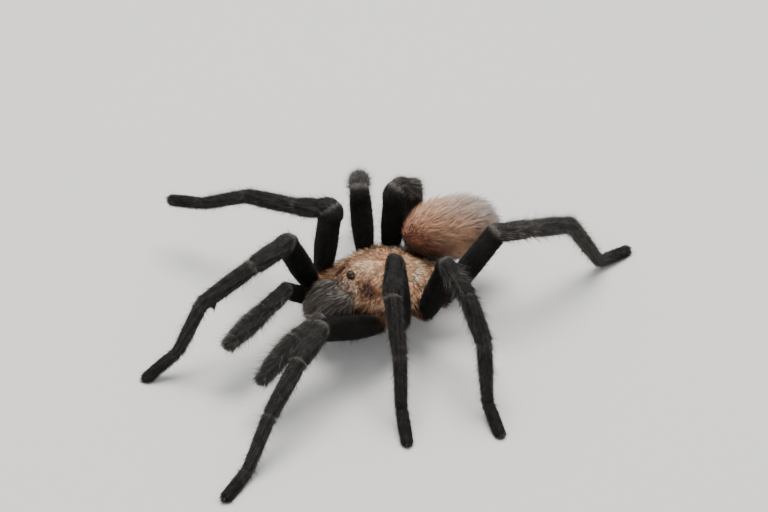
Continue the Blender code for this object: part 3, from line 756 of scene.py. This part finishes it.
def claws():
    """Two small hooked claws at the end of each foot, just out of the coat."""
    shapes = []
    for _, side in SIDES:
        for pair in (1, 2, 3, 4):
            points = limb_points(side, pair)
            way = unit(points[-1] - points[-2])
            across = unit(np.cross(way, UP))
            top = np.cross(across, way)
            for lean in (-0.25, 0.25):
                root = points[-1] - way * 0.3 + top * 0.35 + across * lean
                path = [root + way * out + top * rise for out, rise in CLAW_PATH]
                shapes.append(closed_grid(*swept(path, CLAW_RADII, 8, 9)))
    grid, faces = joined(shapes)
    grid[:, 2] = np.maximum(grid[:, 2], LEAST_CLAW_Z)
    solid("claws", (grid, faces), None, HORN, "horn")


# ---- carapace and eyes


def squared(a, b):
    """The sum of two sizes, each to the power that makes the carapace's oval squarish."""
    return np.abs(a) ** SHIELD_SQUARENESS + np.abs(b) ** SHIELD_SQUARENESS


def shield_half_width(y):
    """Half the carapace's width at y, which grows towards the rear."""
    return SHIELD_WIDTH / 2 * (1.0 + SHIELD_TAPER * 2.0 * y / SHIELD_LENGTH)


def rim_share(x, y):
    """0 at the middle of the carapace's squarish, tapering oval and 1 at its rim."""
    return squared(2.0 * y / SHIELD_LENGTH, x / shield_half_width(y))


def shield_top(x, y):
    """The height of the carapace out to the coat: a dome over its outline, raised at the head."""
    inside = np.maximum(0.0, 1.0 - rim_share(x, y))
    head = HEAD_RISE * np.exp(-(np.hypot(x, y - HEAD_Y) / HEAD_SPREAD) ** 2 / 2)
    return RIM_Z + SHIELD_HEIGHT * inside**DOME_POWER + head * inside**HEAD_FADE


def shield_plan(radius, angle):
    """A point of the carapace's plan: radius 0 to 1, angle from the front."""
    reach = radius * squared(np.cos(angle), np.sin(angle)) ** (-1.0 / SHIELD_SQUARENESS)
    y = -reach * np.cos(angle) * SHIELD_LENGTH / 2
    return reach * np.sin(angle) * shield_half_width(y), y


def furrow(x, y, depth, angle, reach, start, width, widening=0.0):
    """A furrow's depth: a bell across the line from the pit at an angle from straight ahead, both sides."""
    way = np.array((math.sin(math.radians(angle)), math.cos(math.radians(angle))))
    across, forward = np.abs(x), FOVEA_Y - y
    along = across * way[0] + forward * way[1]
    off = across * way[1] - forward * way[0]
    run = smooth(along, *start) * (1 - smooth(along, reach - 2.0, reach))
    return depth * run * bump(off, 0.0, width + widening * along)


def furrow_depth(x, y):
    """The carapace's relief: a pit at its middle, and furrows that run from it to the margin."""
    depth = 0.55 * np.exp(-((x / 0.9) ** 2) - ((y - FOVEA_Y) / 0.45) ** 2)
    for angle, reach in FURROWS:
        depth = depth + furrow(x, y, 0.28, angle, reach, (0.4, 1.6), 0.32, 0.05)
    return depth + furrow(x, y, 0.4, *HEAD_FURROW, (0.5, 2.5), 0.6)


def carapace_rows():
    """Rings from the crown out to the rim over the top, and back in along the underside."""
    angles = circle(120)
    radii = np.concatenate([[0.01, 0.03], np.linspace(0.06, 0.96, 46), [0.975, 0.985, 0.992]])
    radius, angle = np.meshgrid(radii, angles, indexing="ij")
    x, y = shield_plan(radius, angle)
    z = shield_top(x, y) - SHIELD_COAT - furrow_depth(x, y)
    top = np.stack([x, y, np.maximum(z, RIM_Z - 0.28)], -1)
    radius, z = np.array(((0.985, 0.95, 0.7, 0.3), (RIM_Z - 0.42, RIM_Z - 0.52, BELLY_Z, BELLY_Z)))[..., None]
    x, y = shield_plan(radius, angles)
    rows = np.concatenate([top, np.stack([x, y, z + 0.0 * x], -1)])
    poles = np.array(((0.0, 0.0, rows[0, :, 2].mean()), (0.0, 0.0, BELLY_Z)))
    shift = place((0.0, 0.0, 0.0))
    return rows + shift, poles + shift, len(radii)


def carapace_colour(points):
    """Gold, with copper patches, furrows and painted shade on the right flank, bronze cheeks, a grey brow;
    hoary at the rear.
    """
    x, y = from_middle(points)
    rim = rim_share(x, y)
    colour = mix(GOLD, COPPER, 0.6 * smooth(ripples(points, 3.2, 11), 0.0, 0.8))
    colour = mix(colour, COPPER, smooth(furrow_depth(x, y), 0.05, 0.35) * 0.7)
    colour = mix(colour, COPPER * 0.9, 0.7 * smooth(np.abs(x), 3.6, 5.2) * bump(y, -5.2, 2.4))
    cheek = bump(np.abs(x), 3.9, 1.1) * bump(y, -6.1, 1.3)
    colour = mix(colour, BRONZE, np.clip(1.7 * cheek, 0, 1))
    colour = mix(colour, BROW, 0.8 * (smooth(-y, 7.0, 8.4) * (1 - smooth(rim, 0.9, 1.0))))
    # painted shade in copper on the carapace's right flank, where the key lamp falls on that side
    colour = mix(colour, COPPER, 0.65 * bump(x, -4.0, 2.6) * bump(y, 0.0, 3.6))
    colour = mix(colour, GOLD, 0.3 * smooth(rim, 0.75, 0.95))
    crescent = 0.6 * bump(rim, 0.43, 0.1) * smooth(x, 0.5, 2.0) * smooth(y, 1.0, 2.5)
    hoary = np.maximum(crescent, smooth(y, 5.0, 6.6) * smooth(-x, 2.5, 4.5))
    return mix(colour, IVORY, 0.8 * hoary)


def carapace():
    """The shell, locks lying away from its pit, dark and light, a painted highlight at the crown and a fringe
    at the rim.
    """
    rows, poles, tops = carapace_rows()
    shape = closed_grid(rows, poles)
    solid("carapace_shell", shape, carapace_colour(shape[0]) * 0.6, SKIN, "shield", "carapace")
    count, hold = SHIELD_HAIRS
    radial = np.linspace(0.0, 1.0, tops - 1)[:, None] * np.ones(rows.shape[1])
    roots = scatter(rows[:tops], count, "carapace_coat", 0.8 + 1.6 * smooth(radial, 0.8, 1.0))
    x, y = from_middle(roots.at)
    roots.map = np.stack([0.5 + 0.93 * x / SHIELD_WIDTH, 0.5 + 0.96 * y / SHIELD_LENGTH], -1)
    roots.scale = np.full((count, 2), 0.05)
    away = unit(np.stack([x, y - FOVEA_Y, np.zeros(count)], -1))
    edge = smooth(rim_share(x, y), 0.72, 0.97)
    front = smooth(-y, 6.8, 8.2) * (1 - smooth(np.abs(x), 3.0, 4.5))
    fringe = between(FRINGE_LENGTH, BROW_LENGTH, front)
    lengths = between(SHIELD_HAIR_LENGTH, fringe, edge) * roots.any(0.65, 1.25)
    near_eyes = np.exp(-((x / 1.3) ** 2) - ((y - MOUND_Y) / 1.0) ** 2)
    lengths = between(lengths, EYE_HAIR_LENGTH, near_eyes)
    tilt = np.radians(roots.any(3, 17) * (1 - 0.4 * edge))
    swing = roots.sway(15, 0.6, 2.6, 13)
    light = roots.any() ** 1.5
    ground = carapace_colour(roots.at) * np.where(roots.any() < 0.3, 0.4, 1.2)[:, None]
    # painted highlight: locks on the crown of the head turn paler, towards ivory, in base and tip
    crown = bump(x, 0.8, 2.2) * bump(y, -4.0, 2.8)
    base = mix(ground * roots.any(0.3, 1.0)[:, None], IVORY, 0.4 * crown)
    pale = (0.5 + 0.5 * crown) * light ** (1 - 0.7 * crown) * smooth(ground[:, 0], 0.25, 0.8)
    tip = mix(ground * roots.any(0.8, 1.2)[:, None], IVORY, pale)
    widths = roots.any(0.05, 0.08)
    outward = unit(away + UP * roots.any(-0.7, 0.45)[:, None])
    flat = unit(mix(lie(roots, swing, away), outward, 0.85 * edge))
    coat = tufts("carapace_coat", roots, flat, tilt, lengths, widths, base, tip, hold, 0.3, 0.75)
    piece(coat, SHIELD_HAIR, "shield")


def eye_mound():
    """A low oval mound on the head, with eight eyes: two round ones in front, and three at each side."""
    middle = place((0.0, MOUND_Y, shield_top(0.0, MOUND_Y) - SHIELD_COAT - 0.15))
    sizes = np.array((MOUND_WIDTH / 2 - 0.25, MOUND_LENGTH / 2 - 0.3, MOUND_RISE + 0.1))
    shape = dome(middle, (0, 0, 1), (1, 0, 0), sizes, 14, 40, 95.0)
    tint = MOUND_BROWN * (1 + 0.3 * ripples(shape[0], 0.7, 31))[:, None]
    solid("eye_mound_skin", shape, tint, MOUND, "horn", "eye_mound")
    shapes = []
    for _, side in SIDES:
        for heading, slope, radii in EYES:
            turn, fall = np.radians((heading, slope))
            level = np.array((side * math.cos(turn), math.sin(turn), 0.0))
            way = level * math.sin(fall) + UP * math.cos(fall)
            out = unit(way / sizes)
            seat = middle + way * sizes - out * 0.05
            shapes.append(dome(seat, out, (-way[1], way[0], 0.01), radii, 7, 16, 100.0))
    solid("eyes", joined(shapes), None, EYE, "horn")


# ---- jaws and fangs


def jaw_rows(side):
    """Rings along a line, with the outline less the coat, squarer on the inner side, and a round end."""
    start, end = place(JAW_ROOT, side), place(JAW_TIP, side)
    way = unit(end - start)
    top = unit(UP - (UP @ way) * way)
    across = np.cross(way, top)
    round_end = np.radians(JAW_TIP_ANGLES)
    tip = JAW_TIP_START + JAW_TIP_RUN * np.sin(round_end)
    straight = np.linspace(-0.12, JAW_TIP_START, 34)
    part = np.concatenate([straight, tip])
    fall = np.concatenate([np.ones(len(straight)), np.cos(round_end)])
    girth = girth_at(JAW_OUTLINE, JAW_COAT, np.minimum(part, JAW_TIP_START)) * fall
    ease(girth[:, :-3], 3)
    wide, high = girth
    middle = start + way * (part * np.linalg.norm(end - start))[:, None]
    boxy = np.stack([np.cos(circle(40)), np.sin(circle(40))])
    inner = side * boxy[0] > 0
    boxy = np.sign(boxy) * np.abs(boxy) ** np.where(inner, 0.5, 0.75)
    boxy[0] = np.where(inner, 1.2, 1.0) * boxy[0]
    rows = (middle[:, None] + across * (boxy[0][None, :, None] * wide[:, None, None])
            + top * (boxy[1][None, :, None] * high[:, None, None]))
    return rows, np.stack([rows[0].mean(0), rows[-1].mean(0) + way * 0.05])


def jaw_colour(points):
    """Grey brown in faint patches."""
    return JAW_GREY * (1 + 0.2 * ripples(points, 2.0, 19))[:, None]


def jaw(side_name, side):
    """A deep jaw base, its long hair streaked with pale, raised in the crease between the jaws."""
    name = f"chelicera_{side_name}"
    rows, poles = jaw_rows(side)
    shape = closed_grid(rows, poles)
    solid(f"{name}_skin", shape, jaw_colour(shape[0]) * 0.7, SKIN, "dark_coat", name)
    count, hold = JAW_HAIRS
    roots = scatter(rows, count, name)
    upper, inward = upward(roots.turn), side * np.cos(roots.turn * math.tau)
    swing = roots.sway(4, 0.06, 2.6, 17)
    under = smooth(-upper, 0.3, 0.9)
    lengths = between(2.4, 2.6, under) * roots.any(0.6, 1.2)
    rise = 12 * smooth(-inward, 0.2, 0.9) + 24 * (smooth(inward, 0.2, 0.8) * smooth(upper, -0.3, 0.4))
    tilt = np.radians(roots.any(3, 12) + rise * roots.any())
    ground = jaw_colour(roots.at)
    streak = (roots.any() < 0.45) * (1 - under) * roots.any(0.3, 1.0)
    base = mix(ground * 0.8, PALE * 0.8, 0.7 * streak)
    tip = mix(mix(ground * 1.6, JAW_FRINGE, 0.8 * under), PALE * 1.7, streak)
    widths, flat = roots.any(0.045, 0.065), lie(roots, swing)
    coat = tufts(f"{name}_coat", roots, flat, tilt, lengths, widths, base, tip, hold, 0.14, 0.2)
    piece(coat, LEG_HAIR, "dark_coat")


def fang(side_name, side):
    """A fang folded back under its jaw."""
    shape = closed_grid(*swept([place(point, side) for point in FANG_PATH], FANG_RADII))
    solid(f"fang_{side_name}_horn", shape, None, HORN, "horn", f"fang_{side_name}")


# ---- abdomen, spinnerets, underside


def abdomen_axes():
    """The abdomen's middle, and its directions to the rear, across and to the top."""
    turn, pitch = np.radians((90.0 - ABDOMEN_TURN, ABDOMEN_PITCH))
    back = np.array((math.cos(turn) * math.cos(pitch), math.sin(turn) * math.cos(pitch), math.sin(pitch)))
    top = unit(UP - (UP @ back) * back)
    return place(ABDOMEN_MIDDLE), back, np.cross(back, top), top


def abdomen_shares(points):
    """How far points lie to the abdomen's rear and to its top: -1 to 1."""
    middle, back, _, top = abdomen_axes()
    away = points - middle
    return away @ back / (ABDOMEN_LENGTH / 2), away @ top / (ABDOMEN_HEIGHT / 2)


def abdomen_rows():
    """An egg, wider behind: rings at -cos of even steps along it, deeper in the coat towards the rear."""
    middle, back, across, top = abdomen_axes()
    part = -np.cos(np.pi * (np.arange(90) + 0.6) / 90.2)
    size = np.sqrt(np.maximum(1 - np.abs(part) ** ABDOMEN_FULLNESS, 0)) * (1 + ABDOMEN_SWELL * part)
    angle = circle(72)[None, :]
    coat = between(ABDOMEN_COAT_FRONT, ABDOMEN_COAT_REAR, smooth(part, -1.0, 0.3))
    wide, high, reach = ABDOMEN_WIDTH / 2 - coat, ABDOMEN_HEIGHT / 2 - coat, ABDOMEN_LENGTH / 2 - coat
    rows = (middle + back * (part * reach)[:, None, None]
            + across * (np.cos(angle) * (size * wide)[:, None])[..., None]
            + top * (np.sin(angle) * (size * high)[:, None])[..., None])
    return rows, np.stack([middle - back * reach[0], middle + back * reach[-1]])


def abdomen_colour(points):
    """Tan on top and behind, rust at the sides and front, painted shade below the front and underneath, three
    dark specks.
    """
    along, rise = abdomen_shares(points)
    colour = mix(TAN, RUST, smooth(-along - 0.6 * rise, 0.1, 0.8))
    # painted shade: brown black below the front of the abdomen, and darker still underneath
    colour = mix(colour, BROWN_BLACK, smooth(-rise - 0.55 * along, 0.4, 0.8))
    colour = mix(colour, BROWN_BLACK * 2.0, 0.8 * smooth(-rise, 0.5, 0.85))
    for speck in SPECKS:
        near = bump(np.linalg.norm(points - place(speck), axis=1), 0.0, SPECK_SIZE)
        colour = mix(colour, BROWN_BLACK, 0.9 * near)
    return colour * (1 + 0.15 * ripples(points, 3.0, 23))[:, None]


def abdomen():
    """The abdomen's skin, and its undercoat and long overcoat, which turns whitish on top and behind."""
    rows, poles = abdomen_rows()
    shape = closed_grid(rows, poles)
    solid("abdomen_skin", shape, abdomen_colour(shape[0]) * 0.45, SKIN, "abdomen_coat", "abdomen")
    count, hold = ABDOMEN_HAIRS
    roots = scatter(rows, count, "abdomen_coat")
    swing = roots.sway(8, 0.3, 3.6, 27)
    overcoat = roots.any() < 0.5
    long, short = roots.any(*OVERCOAT_LENGTHS), roots.any(*UNDERCOAT_LENGTHS)
    steep, low = roots.any(*OVERCOAT_TILTS), roots.any(*UNDERCOAT_TILTS)
    lengths, tilt = np.where(overcoat, long, short), np.radians(np.where(overcoat, steep, low))
    along, rise = abdomen_shares(roots.at)
    lengths = lengths * between(0.35, 1.0, smooth(along, -1.0, -0.45))
    behind = smooth(along + 0.4 * rise, 0.5, 1.0)
    pale = np.where(overcoat, smooth(0.9 * rise + 0.6 * along, 0.1, 1.1), 0.0)
    pale = np.maximum(pale, behind) * roots.any(0.4, 1.0)
    ground = abdomen_colour(roots.at)
    base = mix(ground * roots.any(0.4, 0.8)[:, None], CREAM * 0.7, 0.5 * behind)
    tip = mix(ground * 1.25, CREAM, np.clip(pale, 0, 1) * (ground[:, 0] > 0.2))
    widths, flat = roots.any(0.045, 0.07), lie(roots, swing)
    coat = tufts("abdomen_coat", roots, flat, tilt, lengths, widths, base, tip, hold, 0.24, 0.5)
    piece(coat, BODY_HAIR, "abdomen_coat")


def spinneret(side_name, side):
    """A tapering finger under the abdomen's rear, with a thin coat."""
    name, back = f"spinneret_{side_name}", abdomen_axes()[1]
    start = place(SPINNERET_ROOT, side)
    lean = math.sin(math.radians(ABDOMEN_TURN)) * (SPINNERET_ROOT[1] - ABDOMEN_MIDDLE[1])
    start[0] += ABDOMEN_MIDDLE[0] + lean
    rows, poles = swept([start + back * run for run in SPINNERET_RUNS], SPINNERET_RADII)
    solid(f"{name}_skin", closed_grid(rows, poles), BROWN_BLACK * 1.5, SKIN, "abdomen_coat", name)
    roots = scatter(rows, SPINNERET_HAIRS, name)
    tilt, lengths = np.radians(roots.any(8, 30)), roots.any(0.4, 0.9)
    flat, widths = lie(roots, np.zeros(SPINNERET_HAIRS)), roots.any(0.04, 0.06)
    ground = RUST * roots.any(0.3, 0.9)[:, None]
    coat = tufts(f"{name}_coat", roots, flat, tilt, lengths, widths, ground * 0.5, ground)
    piece(coat, BODY_HAIR, "abdomen_coat")


def trunk():
    """The trunk between the hips, the waist behind it, and the breastplate."""
    shape = dome(place(TRUNK_MIDDLE), (0, 0, 1), (1, 0, 0), TRUNK_SIZES, 24, 60, 176.0)
    solid("trunk_skin", shape, RUSSET * 0.2, SKIN, "underside")
    shape = closed_grid(*swept([place(point) for point in WAIST_PATH], WAIST_RADII))
    solid("pedicel_skin", shape, RUSSET * 0.2, SKIN, "underside", "pedicel")
    shape = dome(place(STERNUM_MIDDLE), (0, 0, -1), (1, 0, 0), STERNUM_SIZES, 20, 48, 100.0)
    solid("sternum_plate", shape, DARK * 3, SKIN, "underside", "sternum")


# ---- floor, light and camera


def studio():
    """A plain pale floor, light from all round, a lamp above and a weak one at the front left."""
    mesh = bpy.data.meshes.new("floor")
    mesh.from_pydata([(-4, -4, 0), (4, -4, 0), (4, 4, 0), (-4, 4, 0)], [], [(0, 1, 2, 3)])
    mesh.materials.append(new_material("pale_floor", Roughness=0.85, Base_Color=FLOOR_GREY)[0])
    put("floor", mesh)
    world = bpy.data.worlds.new("studio")
    world.use_nodes = True
    sky = world.node_tree.nodes["Background"].inputs
    sky["Color"].default_value, sky["Strength"].default_value = SKY, SKY_STRENGTH
    bpy.context.scene.world = world
    for name, spot, size, power, colour in LAMPS:
        light = bpy.data.lights.new(name, "AREA")
        light.energy, light.size, light.color = power, size * MM, colour
        lamp = put(name, light)
        lamp.location = Vector(spot) * MM
        lamp.rotation_euler = (-Vector(spot)).to_track_quat("-Z", "Y").to_euler()


def camera():
    """A long lens at the animal's front left, looking down at it, turned by a small roll."""
    turn, rise, roll = np.radians((CAMERA_AZIMUTH, CAMERA_ELEVATION, CAMERA_ROLL))
    back = Vector((math.sin(turn) * math.cos(rise), -math.cos(turn) * math.cos(rise), math.sin(rise)))
    right = Vector((math.cos(turn), math.sin(turn), 0.0))
    where = Vector(AIM) + back * CAMERA_DISTANCE
    target = Vector(AIM) + right * AIM_ACROSS + back.cross(right) * AIM_ABOVE
    back = (where - target).normalized()
    right = (right - right.dot(back) * back).normalized()
    level = right * math.cos(roll) + back.cross(right) * math.sin(roll)
    data = bpy.data.cameras.new("camera")
    data.lens, data.sensor_width = CAMERA_LENS, 36.0
    data.clip_start, data.clip_end = 0.01, 20.0
    obj = put("camera", data)
    turned = Matrix((level, back.cross(level), back)).transposed().to_4x4()
    obj.matrix_world = Matrix.Translation(where * MM) @ turned
    bpy.context.scene.camera = obj


SKIN = tinted_material("skin", 0.6, 0.15, *SKIN_GRAIN, pebbled=True)
LEG_HAIR = tinted_material("leg_hair", 0.5, 0.2, *HAIR_GRAIN)
BODY_HAIR = tinted_material("body_hair", 0.36, 0.6, *HAIR_GRAIN)
SHIELD_HAIR = tinted_material("shield_hair", 0.3, 0.9, *HAIR_GRAIN)
MOUND = tinted_material("mound_skin", 0.45, 0.15, *SKIN_GRAIN, pebbled=True)
HORN = horn_material("fang_horn", HORN_BLACK, 0.22)
EYE = horn_material("eye_glass", EYE_BLACK, 0.05)

studio()
camera()
carapace()
eye_mound()
abdomen()
trunk()
for side_name, side in SIDES:
    spinneret(side_name, side)
for side_name, side in SIDES:
    jaw(side_name, side)
    fang(side_name, side)
    for number in range(5):
        whole_limb(side_name, side, number)
claws()
